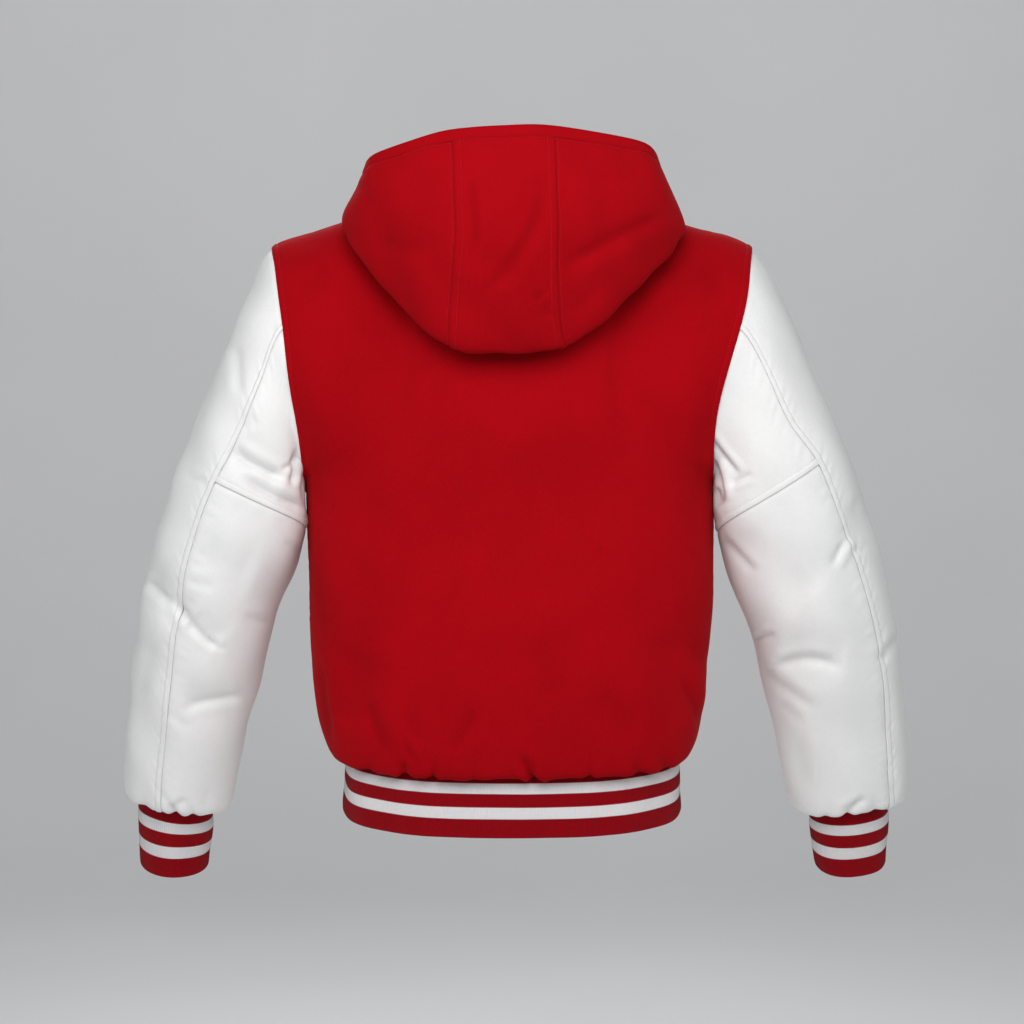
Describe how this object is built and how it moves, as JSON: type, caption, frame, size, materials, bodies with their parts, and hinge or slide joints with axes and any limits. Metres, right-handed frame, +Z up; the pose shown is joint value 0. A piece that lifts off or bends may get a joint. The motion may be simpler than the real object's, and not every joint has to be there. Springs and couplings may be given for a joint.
{
  "type": "hooded varsity jacket",
  "caption": "Hooded varsity jacket, filled out as worn, with leather sleeves, a three-panel hood lying down the back, and striped rib hem and cuffs.",
  "frame": {"origin": "the nape: the middle of the back neck seam", "axes": "+X to the wearer's left, +Y to the back, +Z up along the body; the front faces -Y"},
  "size_m": [0.8415, 0.3329, 0.7748],
  "materials": {
    "wool": "brushed red melton wool",
    "leather": "smooth off-white leather with a soft sheen",
    "rib": "red rib knit with two off-white stripes",
    "snap": "polished nickel"
  },
  "bodies": {
    "root": {"back": "wool", "front_left": "wool", "front_right": "wool", "hood_centre": "wool", "hood_side_left": "wool", "hood_side_right": "wool", "hood_band": "wool", "sleeve_top_left": "leather", "sleeve_top_right": "leather", "sleeve_under_upper_left": "leather", "sleeve_under_upper_right": "leather", "sleeve_under_lower_left": "leather", "sleeve_under_lower_right": "leather", "hem_rib": "rib", "cuff_left": "rib", "cuff_right": "rib", "snap_1": "snap", "snap_2": "snap", "snap_3": "snap", "snap_4": "snap", "snap_5": "snap", "snap_6": "snap", "snap_7": "snap"}
  },
  "joints": []
}
